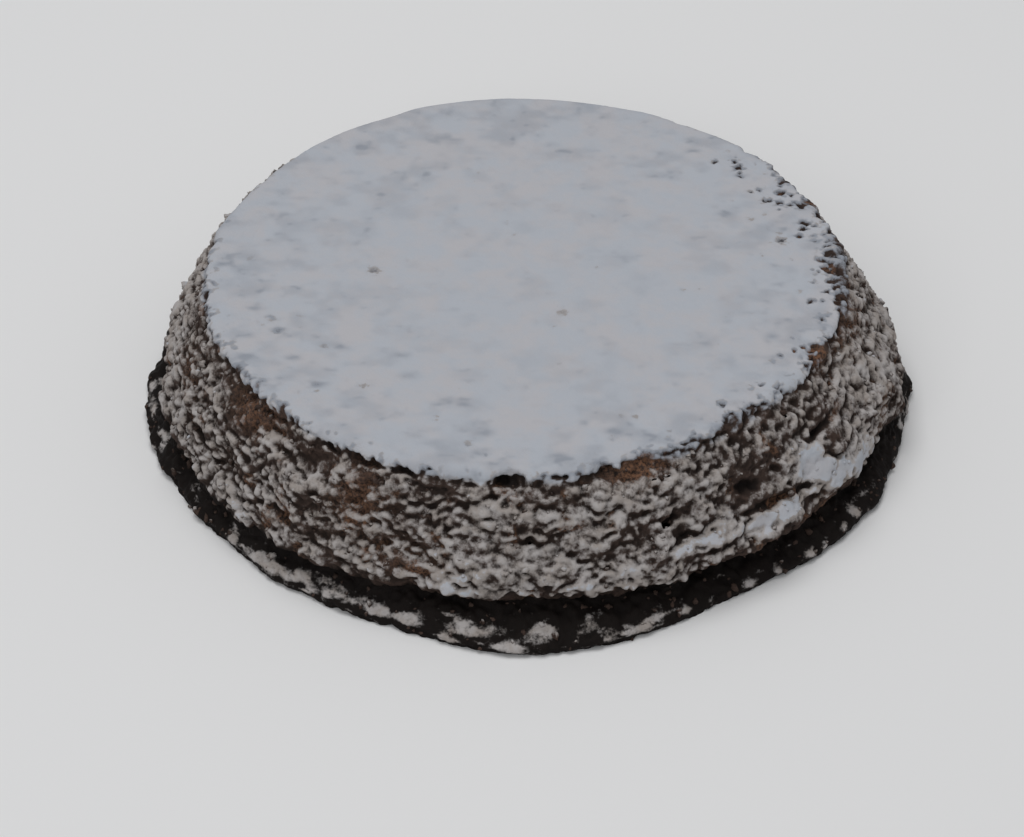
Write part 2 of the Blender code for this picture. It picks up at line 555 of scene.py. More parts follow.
NOTCHES = (
    Swell(-92.8, 0.0465, 0.0034, 0.0014, 1.2),  # in the front edge
    Swell(-75.3, 0.0472, 0.0026, 0.0013, 1.0),
    Swell(-83.4, 0.0488, 0.0018, 0.0008, 0.8),
    Swell(-105.2, 0.0490, 0.0028, 0.0009, 0.9),
    Swell(-116.6, 0.0466, 0.0058, 0.0010, 1.0),  # slots under the edge, left of the front
    Swell(-110.5, 0.0474, 0.0034, 0.0009, 0.9),
    Swell(-124.8, 0.0462, 0.0042, 0.0010, 0.8),
    Swell(-63.4, 0.0258, 0.0024, 0.0014, 1.0),  # holes right of the front
    Swell(-65.0, 0.0305, 0.0024, 0.0012, 0.9),
    Swell(-51.0, 0.0320, 0.0036, 0.0015, 1.0),
    Swell(-47.4, 0.0256, 0.0084, 0.0014, 1.0),  # under the small ledge
    Swell(-40.5, 0.0240, 0.0050, 0.0013, 0.8),  # under the sugared ledge
    Swell(-33.0, 0.0350, 0.0060, 0.0010, 0.8),  # over it
    Swell(-129.5, 0.0215, 0.0050, 0.0014, 0.8),
    Swell(-153.0, 0.0240, 0.0050, 0.0012, 0.7),
)


def notched(points: np.ndarray, azimuth: np.ndarray, height: np.ndarray) -> np.ndarray:
    """The notches' strength: their bells, read at places moved by smooth noise, so that none is round.

    Args:
        points: Places on the coarse form.
        azimuth: Their azimuths.
        height: Their heights on the turned outline.

    Returns:
        The strength, MOST_NOTCH at most.
    """
    bend = Lattice(317)
    aside = 1.9 * bend.layered(points, 0.0032, 2)
    up = 0.0014 * bend.layered(points + 5.0, 0.0032, 2)
    return np.minimum(added(NOTCHES, azimuth + aside, height + up), MOST_NOTCH)


@dataclass(frozen=True)
class Balls:
    """One size of ball in the crumb: its lattice cell's width, and its radii as shares of that."""

    width: float
    least: float
    most: float

    def over(self, lattice: Lattice, points: np.ndarray) -> np.ndarray:
        """How high the balls stand over each point, in metres: the lattice's domes, times the width."""
        return self.width * lattice.domes(points, self.width, self.least, self.most)


@dataclass
class Crumb:
    """The crumb's relief: lumps, crumbs and grains, as balls pushed through the surface."""

    lumps: Lattice = Lattice(11)
    crumbs: Lattice = Lattice(23)
    grains: Lattice = Lattice(37)
    bend: Lattice = Lattice(53)
    holes: Lattice = Lattice(71)
    lump_balls: Balls = Balls(0.0092, 0.45, 0.80)
    large_balls: Balls = Balls(0.0050, 0.42, 0.80)
    small_balls: Balls = Balls(0.0030, 0.42, 0.80)
    bit_balls: Balls = Balls(0.0017, 0.35, 0.75)
    hole_cells: tuple[float, float, float] = (0.0070, 0.04, 0.36)
    lump_share: float = 0.22
    crumb_share: float = 0.58
    bit_share: float = 0.46
    grain_width: float = 0.0012
    grain_height: float = 0.00022
    hole_depth: float = 0.0042
    notch_depth: float = 0.0024
    flatness: float = 1.50
    # How far smooth noise moves a place, and that noise's size
    wide_bend: tuple[float, float] = (0.0019, 0.0085)
    close_bend: tuple[float, float] = (0.0010, 0.0022)
    softness: tuple[float, float] = (0.9, 0.7)
    smooth_side: Swell = Swell(-8, 0.026, 0.050, 0.020, 0.15)

    def bent(self, points: np.ndarray) -> np.ndarray:
        """The points, stretched along Z and moved by smooth noise at two sizes, so that no ball stays round.

        Args:
            points: Places.

        Returns:
            The moved places.
        """
        (far, wide_size), (near, close_size) = self.wide_bend, self.close_bend
        wide = [self.bend.smooth(points + 3.7 * axis, wide_size) for axis in range(3)]
        close = [self.bend.smooth(points + 1.3 * axis, close_size) for axis in range(3)]
        shift = far * np.stack(wide, axis=-1) + near * np.stack(close, axis=-1)
        return points * np.array([1.0, 1.0, self.flatness]) + shift

    def rise(
        self, points: np.ndarray, azimuth: np.ndarray, height: np.ndarray, notch: np.ndarray
    ) -> np.ndarray:
        """The relief: three sizes of ball and fine noise, less sparse holes and the named notches.

        The whole is blurred a little, which rounds the creases between the balls, and its average on
        the wall is taken off.

        Args:
            points: Places on the coarse form.
            azimuth: Their azimuths.
            height: Their heights on the turned outline.
            notch: The notches' strength there.

        Returns:
            How far the crumb stands out of it in metres, about 0 on average.
        """
        bent = self.bent(points)
        lump = self.lump_balls.over(self.lumps, bent)
        large = self.large_balls.over(self.crumbs, bent)
        small = self.small_balls.over(self.crumbs, bent + 0.3)
        share = 0.8 * smooth_step(-0.05, 0.50, self.holes.smooth(points + 0.6, 0.0110))
        crumb = share * 0.80 * large + (1 - share) * small
        bit = self.bit_balls.over(self.crumbs, bent + 0.5)
        grain = self.grains.layered(points, self.grain_width, 2)
        hole = self.holes.domes(bent * np.array([1.0, 1.0, 1.5]), *self.hole_cells)
        coarse_part = self.lump_share * lump - self.hole_depth * hole
        rough = 1 - self.smooth_side.over(azimuth, height, GIRTH_RADIUS)
        fine_part = (self.crumb_share * crumb + self.bit_share * bit + self.grain_height * grain) * rough
        relief = blurred(coarse_part + fine_part, *self.softness)
        on_wall = (height > WALL_FOOT) & (height < WALL_TOP)
        return relief - relief[on_wall].mean() - self.notch_depth * notch


@dataclass
class Snow:
    """Where icing sugar lies: a closed sheet on the top, and on the wall what faces up and is open."""

    coarse: Lattice = Lattice(101)
    patches: Lattice = Lattice(131)
    flecks: Lattice = Lattice(151)
    swell: Lattice = Lattice(211)
    thickness: float = 0.00038
    pit_depth: float = 0.0006
    seed: int = 19
    drifts: tuple[Swell, ...] = (
        Swell(-37.8, 0.0285, 0.0054, 0.0054, 3.2),  # ledge on the right, its left lobe
        Swell(-33.0, 0.0230, 0.0062, 0.0038, 2.6),  # its middle
        Swell(-26.5, 0.0190, 0.0068, 0.0044, 3.0),  # its right lobe
        Swell(-21.5, 0.0160, 0.0034, 0.0026, 1.3),
        Swell(-50.0, 0.0215, 0.0062, 0.0025, 2.4),  # lower ledge
        Swell(-43.8, 0.0215, 0.0048, 0.0026, 2.2),
        Swell(-47.1, 0.0300, 0.0055, 0.0016, 0.8),  # small ledge between them
        Swell(-59.9, 0.0380, 0.0055, 0.0028, 0.7),
        Swell(-64.4, 0.0225, 0.0048, 0.0026, 0.8),
        Swell(-59.5, 0.0232, 0.0048, 0.0026, 0.8),
        Swell(-55.8, 0.0282, 0.0028, 0.0022, 0.6),
        Swell(-99.5, 0.0212, 0.0070, 0.0034, 0.8),  # over the groove
        Swell(-73.4, 0.0205, 0.0034, 0.0026, 0.9),
        Swell(-129.2, 0.0121, 0.0060, 0.0020, 0.8),
        Swell(-12.0, 0.0300, 0.0240, 0.0120, 0.15),  # dusty right side
        Swell(-88.0, 0.0155, 0.0480, 0.0032, 0.75),  # rim over the groove
        Swell(-140.0, 0.0110, 0.0300, 0.0045, 0.80),  # and at the left, where the groove is shallow
    )
    bare: tuple[Swell, ...] = (
        Swell(-69.3, 0.0462, 0.0080, 0.0022, 1.8),  # brown chip in the edge
        Swell(-23.4, 0.0495, 0.0044, 0.0030, 1.5),  # brown chip on the right
        Swell(-142.0, 0.0425, 0.0110, 0.0042, 0.9),  # brown strip at the left
        Swell(-117.0, 0.0360, 0.0070, 0.0070, 0.55),  # brown crumb, left of the front
        Swell(-108.0, 0.0200, 0.0120, 0.0032, 0.60),  # and below it
        Swell(-151.5, 0.0310, 0.0048, 0.0035, 0.6),
        Swell(-163.0, 0.0330, 0.0075, 0.0050, 0.6),
        Swell(-126.0, 0.0300, 0.0260, 0.0140, 0.30),  # darker crumb left of the front
        # Painted shade: these take sugar off to leave dark crumb under the ledge, over and under the lower
        # ledge, and over the sugared ledge.
        Swell(-37.0, 0.0110, 0.0180, 0.0045, 1.6),  # shade under the ledge
        Swell(-50.0, 0.0300, 0.0080, 0.0040, 0.7),  # shade over the lower ledge
        Swell(-50.0, 0.0155, 0.0120, 0.0030, 0.8),  # and under it
        Swell(-31.5, 0.0295, 0.0024, 0.0028, 1.1),  # between the sugared ledge's lobes
        Swell(-38.0, 0.0390, 0.0260, 0.0055, 0.40),  # darker crumb over it
        Swell(-8.0, 0.0440, 0.0150, 0.0040, 0.30),  # bare crumb under the right edge
        Swell(-4.0, 0.0290, 0.0400, 0.0150, 0.24),  # gaps in the dust on the right side
    )
    # Drifts on the lip: azimuth, height and half width in millimetres, strength
    lip_drifts: tuple[tuple[float, float, float, float], ...] = (
        *((-139.2, 3.0, 3.4, 0.9), (-133.6, 3.7, 4.4, 1.1), (-129.0, 4.0, 3.4, 0.9)),
        *((-124.9, 5.0, 3.6, 1.1), (-122.9, 2.2, 2.2, 1.0), (-119.6, 3.2, 1.6, 0.8)),
        *((-118.2, 6.0, 1.8, 0.7), (-112.6, 4.3, 4.4, 1.1), (-106.2, 3.9, 4.2, 1.2)),
        *((-100.1, 2.2, 3.6, 1.0), (-97.2, 5.0, 4.6, 1.2), (-91.6, 2.9, 4.6, 1.4)),
        *((-86.8, 5.0, 3.2, 1.1), (-80.4, 5.2, 3.6, 0.7), (-77.5, 2.5, 2.4, 0.8)),
        *((-73.6, 3.1, 3.6, 1.0), (-70.2, 3.6, 3.4, 1.0), (-65.1, 3.0, 2.6, 0.8)),
        *((-60.0, 2.4, 1.6, 0.9), (-53.2, 2.8, 2.2, 0.9), (-48.2, 2.0, 1.3, 1.0)),
        *((-42.2, 3.0, 2.0, 1.0), (-38.8, 3.0, 1.3, 0.8), (-34.1, 3.5, 1.7, 1.0)),
        *((-30.2, 4.2, 2.2, 0.9), (-23.1, 4.7, 2.2, 0.9), (-18.1, 3.0, 1.4, 0.8)),
    )
    lip_drift_half_height: float = 0.00130
    # Pits in the top: X, Y and width in millimetres, depth
    pits: tuple[tuple[float, float, float, float], ...] = (
        *((-49.7, 5.1, 1.7, 0.62), (9.9, -17.2, 1.6, 0.42), (67.4, 63.7, 1.3, 1.2)),
        *((67.8, 58.8, 0.8, 0.8), (74.9, 44.9, 1.1, 1.2), (70.7, 50.2, 0.8, 0.8)),
        *((80.5, 49.5, 1.4, 1.2), (80.8, 55.3, 0.8, 0.8), (83.2, 42.7, 1.0, 1.1)),
        *((86.5, 42.5, 1.1, 1.2), (79.5, 23.1, 1.6, 0.8), (84.5, 25.5, 0.9, 0.7)),
        *((87.2, 33.2, 1.4, 1.2), (94.2, 16.6, 1.3, 0.9), (93.2, 8.1, 1.2, 0.9)),
        *((95.7, -1.1, 1.3, 0.9), (96.4, -6.3, 1.4, 0.9), (87.5, -9.3, 1.0, 0.9)),
        *((97.9, -17.1, 1.2, 0.9), (-65.2, -55.0, 1.0, 0.42), (-18.7, -83.2, 1.1, 0.42)),
        *((-80.9, -21.6, 1.3, 0.40), (-78.4, -27.5, 1.5, 0.42)),
    )
    # Dull specks in the sheet: X, Y and width in millimetres, strength
    specks: tuple[tuple[float, float, float, float], ...] = (
        *((84.5, 25.5, 2.0, 0.8), (76.6, 9.3, 1.8, 0.6), (78.0, -0.9, 2.0, 0.6)),
        *((62.0, 36.9, 2.2, 0.6), (52.7, 72.2, 2.0, 0.8), (75.5, -27.5, 2.0, 0.6)),
        *((-97.2, 7.1, 2.4, 0.7), (-86.0, -15.3, 2.2, 0.9), (-81.1, -20.9, 1.8, 1.3)),
        *((-78.6, -27.3, 2.0, 1.4), (-88.1, -41.5, 2.6, 0.8), (-73.3, -42.0, 2.4, 0.9)),
        *((-58.3, -36.1, 2.6, 0.6), (-40.0, -39.9, 2.6, 0.7), (-37.3, -50.3, 3.0, 0.6)),
        *((-65.2, -55.0, 2.6, 1.2), (-20.3, -64.4, 2.6, 0.6), (-15.4, -87.8, 2.6, 0.8)),
        *((-13.9, -78.4, 2.4, 0.6), (25.7, -76.1, 2.6, 0.9), (36.3, -77.8, 2.4, 0.8)),
        *((8.4, -88.5, 2.6, 0.8), (57.5, -74.0, 2.6, 0.8), (67.8, 58.8, 2.0, 0.9)),
    )
    # Pits scattered by the seed: how many, the first and last azimuth, the inner and outer radius
    # in millimetres, and the depth
    pit_groups: tuple[tuple[int, float, float, float, float, float], ...] = (
        (34, -12.0, 50.0, 88.0, 99.0, 1.0),
        (10, -12.0, 44.0, 74.0, 90.0, 0.42),
        (16, -48.0, -12.0, 84.0, 99.0, 0.8),
        (8, -170.0, -140.0, 70.0, 98.0, 0.36),
        (14, -140.0, -60.0, 72.0, 100.0, 0.36),
        (12, -180.0, 180.0, 20.0, 95.0, 0.30),
    )
    # How far the closed sheet reaches along the outline, and where it reaches further or less far
    reach: float = 0.1015
    reaches: tuple[Swell, ...] = (
        Swell(-120, 0, 0.050, 1, 0.0016),
        Swell(-97, 0, 0.010, 1, 0.0014),
        Swell(-62, 0, 0.014, 1, -0.0020),
        Swell(-47, 0, 0.010, 1, -0.0016),
        Swell(-22, 0, 0.010, 1, -0.0036),
        Swell(-15, 0, 0.005, 1, 0.0022),
        Swell(2, 0, 0.030, 1, -0.0040),
        Swell(38, 0, 0.030, 1, -0.0016),
        Swell(105, 0, 0.100, 1, 0.0034),
    )
    # Covers: the closed sheet's, what a smudge and a pit take off it, and the most on wall and lip
    sheet_cover: float = 1.75
    smudge_loss: float = 0.20
    pit_loss: float = 2.6
    most_on_wall: float = 0.90
    most_in_drifts: float = 2.2
    most_on_lip: float = 0.75
    # The wall's cover: at a normal that rises by half, what facing up and standing out add, and losses
    middle_cover: float = 0.24
    facing_share: float = 0.8
    standing_share: float = 0.40
    notch_loss: float = 2.4
    groove_shelter_and_shade_loss: float = 1.5
    shelter_loss: float = 0.9
    bite_loss: float = 1.3
    # The lip's cover: between its drifts, how much wider and stronger those are made, and a thin dust
    lip_cover: float = -0.95
    lip_drift_spread: float = 1.25
    lip_drift_strength: float = 1.75
    lip_dust: Swell = Swell(-131.0, 0.0042, 0.036, 0.0024, 0.55)

    def border(self, azimuth: np.ndarray, points: np.ndarray) -> np.ndarray:
        """How far out over the top the closed sheet reaches, as a distance along the outline.

        Args:
            azimuth: The places' azimuths.
            points: Where they are, for the ragged part.

        Returns:
            Distances from the top's centre, over the edge and down the wall.
        """
        ragged = 0.0024 * self.patches.layered(points, 0.0052, 3) + 0.0010 * self.coarse.smooth(points, 0.016)
        fine = 0.0012 * self.flecks.layered(points, 0.0020, 2)
        return self.reach + added(self.reaches, azimuth, np.zeros_like(azimuth)) + ragged + fine

    def pitted(self, x: np.ndarray, y: np.ndarray) -> np.ndarray:
        """The top's pits: bells of the distance from the named places and from seeded ones in groups.

        Args:
            x: The places' X.
            y: Their Y.

        Returns:
            How deep the pit is, from 0 to about 1.
        """
        draw = random.Random(self.seed)
        places = list(self.pits)
        for count, first, last, inner, outer, depth in self.pit_groups:
            for _ in range(count):
                turn = math.radians(draw.uniform(first, last))
                out = draw.uniform(inner, outer)
                deep = depth * draw.uniform(0.4, 1.2)
                places.append((out * math.cos(turn), out * math.sin(turn), draw.uniform(0.5, 1.2), deep))
        flat = np.stack([x, y, 0 * x], axis=-1)
        uneven = 1.15 + 0.5 * self.flecks.smooth(flat, 0.0009)
        bent_x = x + 0.0005 * self.patches.smooth(flat, 0.0014)
        bent_y = y + 0.0005 * self.coarse.smooth(flat, 0.0014)
        pit = np.zeros_like(x)
        for across, along, width, depth in places:
            away = np.hypot(bent_x - across / 1000, bent_y - along / 1000) * 1000 / width
            pit = np.maximum(pit, depth * bell(0.8 * away * uneven))
        return pit

    def smudged(self, points: np.ndarray) -> np.ndarray:
        """Where the closed sheet is a little dull: noise stretched along X, and the named specks.

        The noise is stronger near the edge. A speck is a bell, twice as wide as it is deep, whose
        rim is bent by fine noise.

        Args:
            points: Places on the top.

        Returns:
            Numbers from 0, clean, to about 1.
        """
        flat = points * np.array([0.95, 1.2, 0.3])
        wide = smooth_step(-0.15, 0.60, self.patches.layered(flat, 0.0085, 3))
        close = smooth_step(0.25, 0.80, self.flecks.layered(flat + 0.4, 0.0034, 2))
        nearer = 0.45 + 0.55 * smooth_step(0.040, 0.092, np.hypot(points[..., 0], points[..., 1]))
        bent = points + 0.0012 * self.flecks.smooth(points + 0.2, 0.0022)[..., None]
        speck = np.zeros(points.shape[:-1])
        for across, along, width, strength in self.specks:
            x, y = (bent[..., 0] * 1000 - across) / width, (bent[..., 1] * 1000 - along) * 1.7 / width
            speck = np.maximum(speck, strength * bell(np.hypot(x, y)))
        return (0.50 * wide + 0.70 * close * (0.20 + wide)) * nearer + speck

    def sheet(self, points: np.ndarray) -> np.ndarray:
        """The cover of the closed sheet: full, and thinner where it is smudged."""
        return self.sheet_cover - self.smudge_loss * self.smudged(points)

    def lift(self, points: np.ndarray) -> np.ndarray:
        """How far the sheet swells: smooth noise at two sizes, in metres."""
        flat = points * np.array([1.0, 1.0, 0.3])
        return 0.00016 * self.swell.layered(flat, 0.014, 3) + 0.00009 * self.flecks.layered(flat, 0.0021, 2)

    def sky(self, points: np.ndarray) -> np.ndarray:
        """How open each point is to the sky: its radius against the largest radius above it.

        Args:
            points: Rows and columns of points, the rows going up.

        Returns:
            Numbers from 0, sheltered, to 1, open.
        """
        radius = np.hypot(points[..., 0], points[..., 1])
        above = np.maximum.accumulate(radius[::-1], axis=0)[::-1]
        above = np.concatenate([above[2:], above[-1:], above[-1:]], axis=0)
        return smooth_step(-0.0016, 0.0002, radius - above)

    def on_lip(self, azimuth: np.ndarray, height: np.ndarray, points: np.ndarray) -> np.ndarray:
        """The cover of the lip of crust: separate drifts, named in front and by noise elsewhere.

        Args:
            azimuth: The places' azimuths.
            height: Their heights.
            points: Where they are.

        Returns:
            The cover.
        """
        spread, stronger = self.lip_drift_spread, self.lip_drift_strength
        swells = tuple(
            Swell(a, up / 1000, wide * spread / 1000, self.lip_drift_half_height, stronger * strength)
            for a, up, wide, strength in self.lip_drifts
        )
        swells = (*swells, self.lip_dust)
        seen = bell(((azimuth + 84.0) / 66.0) ** 4)
        scattered = 1.9 * self.patches.smooth(points * np.array([1.0, 1.0, 1.9]) + 0.3, 0.0062)
        ragged = 1.7 * self.flecks.layered(points * np.array([0.55, 0.55, 1.9]), 0.0020, 3)
        lying = self.lip_cover + seen * added(swells, azimuth, height) + (1 - seen) * scattered + ragged
        return np.minimum(lying, self.most_on_lip)

    def fringe(self, points: np.ndarray, azimuth: np.ndarray, past: np.ndarray) -> np.ndarray:
        """What the wall's cover loses just past the border: a bell of the distance, in noisy spots.

        Args:
            points: The crumb's surface.
            azimuth: The places' azimuths; it loses more at the left.
            past: How far past the border they are.

        Returns:
            The loss.
        """
        left = bell((azimuth + 152.0) / 36.0)
        spotty = smooth_step(-0.45, 0.30, self.flecks.layered(points + 1.3, 0.0028, 2))
        return (0.45 + 0.25 * left) * spotty * bell((past - 0.0032) / 0.0032)

    def nibbled(self, points: np.ndarray, azimuth: np.ndarray, past: np.ndarray) -> np.ndarray:
        """What is bitten out of the cover on both sides of the border: a bell times patches of noise.

        Args:
            points: The crumb's surface.
            azimuth: The places' azimuths; less is bitten out in front and at the back.
            past: How far past the border they are.

        Returns:
            The loss.
        """
        bites = smooth_step(0.05, 0.50, self.flecks.layered(points + 0.7, 0.0026, 2))
        fewer = (1 - 0.5 * bell((azimuth + 95.0) / 28.0)) * (1 - 0.8 * bell((azimuth - 100.0) / 60.0))
        return self.bite_loss * bites * fewer * bell((past + 0.0014) / 0.0032)

    def cover(
        self,
        points: np.ndarray,
        rise: np.ndarray,
        outward: np.ndarray,
        azimuth: np.ndarray,
        height: np.ndarray,
        along: np.ndarray,
        notch: np.ndarray,
    ) -> np.ndarray:
        """How much sugar lies at each point: about 1 is a closed layer, and below about -0.5 is bare.

        On the wall it is what faces up, what stands out of its surroundings, noise at three sizes and
        the named drifts, less the bare places, the painted shade under and over the ledges, the notches,
        the groove, where the loss is partly painted shade, what is sheltered and a fringe along the
        border. Within the border, which reaches further over crumbs that stand out, it is the sheet's.
        Patches of fine noise nibble at the border.

        Args:
            points: The crumb's surface.
            rise: How far the crumb stands out of the coarse form.
            outward: The directions it faces.
            azimuth: The places' azimuths.
            height: The places' heights on the turned outline.
            along: Their lengths along it, from the top's centre.
            notch: The notches' strength there.

        Returns:
            The cover.
        """
        stands = np.clip((rise - blurred(rise, 3.7, 2.7)) / 0.00034, -1.8, 1.5)
        broad = points * np.array([1.0, 1.0, 1.5])
        noise = 0.32 * self.coarse.smooth(points, 0.0130) + 0.28 * self.patches.smooth(broad, 0.0062)
        ragged = self.flecks.layered(points, 0.0028, 2)
        noise = noise + 0.38 * ragged
        marked = added(self.drifts, azimuth, height) * (0.85 + 0.45 * ragged)
        marked = marked - added(self.bare, azimuth, height) * (1 - 0.9 * ragged)
        marked = marked - self.notch_loss * notch
        # Sugar is kept out of the groove, which the bulge shelters, and also as painted shade there.
        groove = self.groove_shelter_and_shade_loss * bell((height - 0.0095) / 0.0028)
        sheltered = self.shelter_loss * (1.0 - self.sky(points))
        up = self.facing_share * (outward[..., 2] - 0.50)
        wall = self.middle_cover + up + self.standing_share * stands + noise
        wall = np.minimum(wall, self.most_on_wall) + marked
        wall = np.minimum(wall, self.most_in_drifts) - groove - sheltered
        past = along - self.border(azimuth, points) - 0.0010 * stands
        wall = wall - self.fringe(points, azimuth, past)
        on_lip = smooth_step(0.0082, 0.0062, height)
        wall = wall * (1 - on_lip) + self.on_lip(azimuth, height, points) * on_lip
        inside = smooth_step(0.0018, -0.0026, past)
        nibble = self.nibbled(points, azimuth, past)
        return wall * (1 - inside) + self.sheet(points) * inside - nibble


class Shader:
    """One material's nodes, with the maths between them written as expressions."""

    def __init__(self, name: str) -> None:
        """Starts a material whose Principled shader is ready to be fed."""
        self.material = bpy.data.materials.new(name)
        self.material.use_nodes = True
        self.tree = self.material.node_tree
        self.principled = self.tree.nodes["Principled BSDF"]

    def node(self, kind: str, settings: dict | None = None, inputs: dict | None = None) -> bpy.types.Node:
        """Adds a node.

        Args:
            kind: The node's type name.
            settings: Its properties, which are set first.
            inputs: For each socket's name or number, a value or something to link.

        Returns:
            The new node.
        """
        made = self.tree.nodes.new(kind)
        for key, value in (settings or {}).items():
            setattr(made, key, value)
        for key, value in (inputs or {}).items():
            self.feed(made.inputs[key], value)
        return made

    def feed(self, socket: bpy.types.NodeSocket, value: object) -> None:
        """Links a wrapped or bare socket to an input, or sets the input's own value.

        Args:
            socket: The input.
            value: A Value, an output socket, a number or a tuple.
        """
        if isinstance(value, Value):
            value = value.socket
        if isinstance(value, bpy.types.NodeSocket):
            self.tree.links.new(value, socket)
        elif isinstance(value, tuple) and socket.type == "RGBA" and len(value) == 3:
            socket.default_value = (*value, 1.0)
        else:
            socket.default_value = value

    def attribute(self, name: str) -> "Value":
        """The piece's own number of that name, at each point."""
        made = self.node("ShaderNodeAttribute", {"attribute_name": name})
        return Value(self, made.outputs["Fac"])

    def noise(self, size: float, detail: float = 2.0, roughness: float = 0.5) -> "Value":
        """Noise on Object coordinates, from 0 to 1.

        Args:
            size: The width of its features, in metres.
            detail: How many finer layers it has.
            roughness: How strong they are.

        Returns:
            The noise.
        """
        place = self.node("ShaderNodeTexCoord").outputs["Object"]
        inputs = {"Vector": place, "Scale": 1.0 / size, "Detail": detail, "Roughness": roughness}
        return Value(self, self.node("ShaderNodeTexNoise", None, inputs).outputs["Fac"])

    def mix(self, share: object, first: object, second: object) -> bpy.types.NodeSocket:
        """Mixes two colours.

        Args:
            share: How much of the second there is.
            first: A colour, as three numbers or a socket.
            second: The other colour.

        Returns:
            The mixed colour.
        """
        made = self.node("ShaderNodeMix", {"data_type": "RGBA", "clamp_factor": True})
        for index, value in ((0, share), (6, first), (7, second)):
            self.feed(made.inputs[index], value)
        return made.outputs[2]

    def bump(self, height: "Value", strength: float, distance: float) -> bpy.types.NodeSocket:
        """A Bump node on a height.

        Args:
            height: The height, from 0 to 1.
            strength: How strongly it shows.
            distance: How far 1 stands out, in metres.

        Returns:
            The bent normal.
        """
        inputs = {"Height": height, "Strength": strength, "Distance": distance}
        return self.node("ShaderNodeBump", None, inputs).outputs["Normal"]

    def dress(self, colour: object, roughness: object, normal: object, gloss: float) -> bpy.types.Material:
        """Feeds the Principled shader.

        Args:
            colour: The base colour.
            roughness: The roughness.
            normal: The bent normal.
            gloss: How strongly it mirrors, the same all over.

        Returns:
            The material.
        """
        for name, value in (("Base Color", colour), ("Roughness", roughness), ("Normal", normal)):
            self.feed(self.principled.inputs[name], value)
        self.principled.inputs["Specular IOR Level"].default_value = gloss
        return self.material


@dataclass(frozen=True)
class Value:
    """A number on a surface: an output socket that adds Math nodes when it is reckoned with."""

    shader: Shader
    socket: bpy.types.NodeSocket

    def _math(self, operation: str, *operands: object) -> "Value":
        """Adds one Math node.

        Args:
            operation: The node's operation.
            operands: Its inputs, in order.

        Returns:
            The result.
        """
        made = self.shader.node("ShaderNodeMath", {"operation": operation}, dict(enumerate(operands)))
        return Value(self.shader, made.outputs[0])

    def __add__(self, other: object) -> "Value":
        """Adds."""
        return self._math("ADD", self, other)

    def __radd__(self, other: object) -> "Value":
        """Adds, from the right."""
        return self._math("ADD", other, self)

    def __sub__(self, other: object) -> "Value":
        """Takes away."""
        return self._math("SUBTRACT", self, other)

    def __rsub__(self, other: object) -> "Value":
        """Is taken away from the other."""
        return self._math("SUBTRACT", other, self)

    def __mul__(self, other: object) -> "Value":
        """Multiplies."""
        return self._math("MULTIPLY", self, other)

    def __rmul__(self, other: object) -> "Value":
        """Multiplies, from the right."""
        return self._math("MULTIPLY", other, self)

    def step(self, low: float, high: float) -> "Value":
        """A soft step from 0 at low to 1 at high.

        Args:
            low: Where it starts.
            high: Where it ends.

        Returns:
            The step.
        """
        settings = {"interpolation_type": "SMOOTHSTEP"}
        inputs = {"Value": self, "From Min": low, "From Max": high}
        made = self.shader.node("ShaderNodeMapRange", settings, inputs)
        return Value(self.shader, made.outputs["Result"])


@dataclass(frozen=True)
class Powder:
    """Icing sugar over something else: warm where it is thin, bluish white where it is thick."""

    thin: Colour = (0.360, 0.322, 0.298)
    pale: Colour = (0.452, 0.426, 0.416)
    thick: Colour = (0.466, 0.492, 0.538)
    warm: Colour = (0.498, 0.494, 0.518)
    smudge: Colour = (0.320, 0.342, 0.385)
    grain_size: float = 0.0008
    fleck_size: float = 0.0026
    tint_size: float = 0.0060
    mottle_size: float = 0.0110
    grain_share: float = 1.5
    fleck_share: float = 0.8
    dusted: tuple[float, float] = (-0.35, 0.85)
    closed: tuple[float, float] = (0.95, 1.45)

    def over(self, shader: Shader, under: object) -> tuple[bpy.types.NodeSocket, Value, Value]:
        """Lays the powder on a colour by the piece's own "cover", broken up by noise at two sizes.

        Thin powder is tinted by one noise and thick powder by another, and "smudge" dulls both.

        Args:
            shader: The material's nodes.
            under: The colour under it.

        Returns:
            The colour, how much of it is powder, and the powder's grain.
        """
        grain = shader.noise(self.grain_size, 3.0, 0.65)
        fleck = shader.noise(self.fleck_size, 2.0, 0.5)
        broken = (grain - 0.5) * self.grain_share + (fleck - 0.5) * self.fleck_share
        lying = shader.attribute("cover") + broken
        share = lying.step(*self.dusted)
        mottle = shader.noise(self.mottle_size, 4.0, 0.6).step(0.35, 0.68)
        thick = shader.mix(mottle, self.thick, self.warm)
        tint = shader.noise(self.tint_size, 3.0, 0.6).step(0.36, 0.64)
        thin = shader.mix(tint, self.thin, self.pale)
        clean = shader.mix(lying.step(*self.closed), thin, thick)
        sugar = shader.mix(shader.attribute("smudge"), clean, self.smudge)
        return shader.mix(share, under, sugar), share, grain


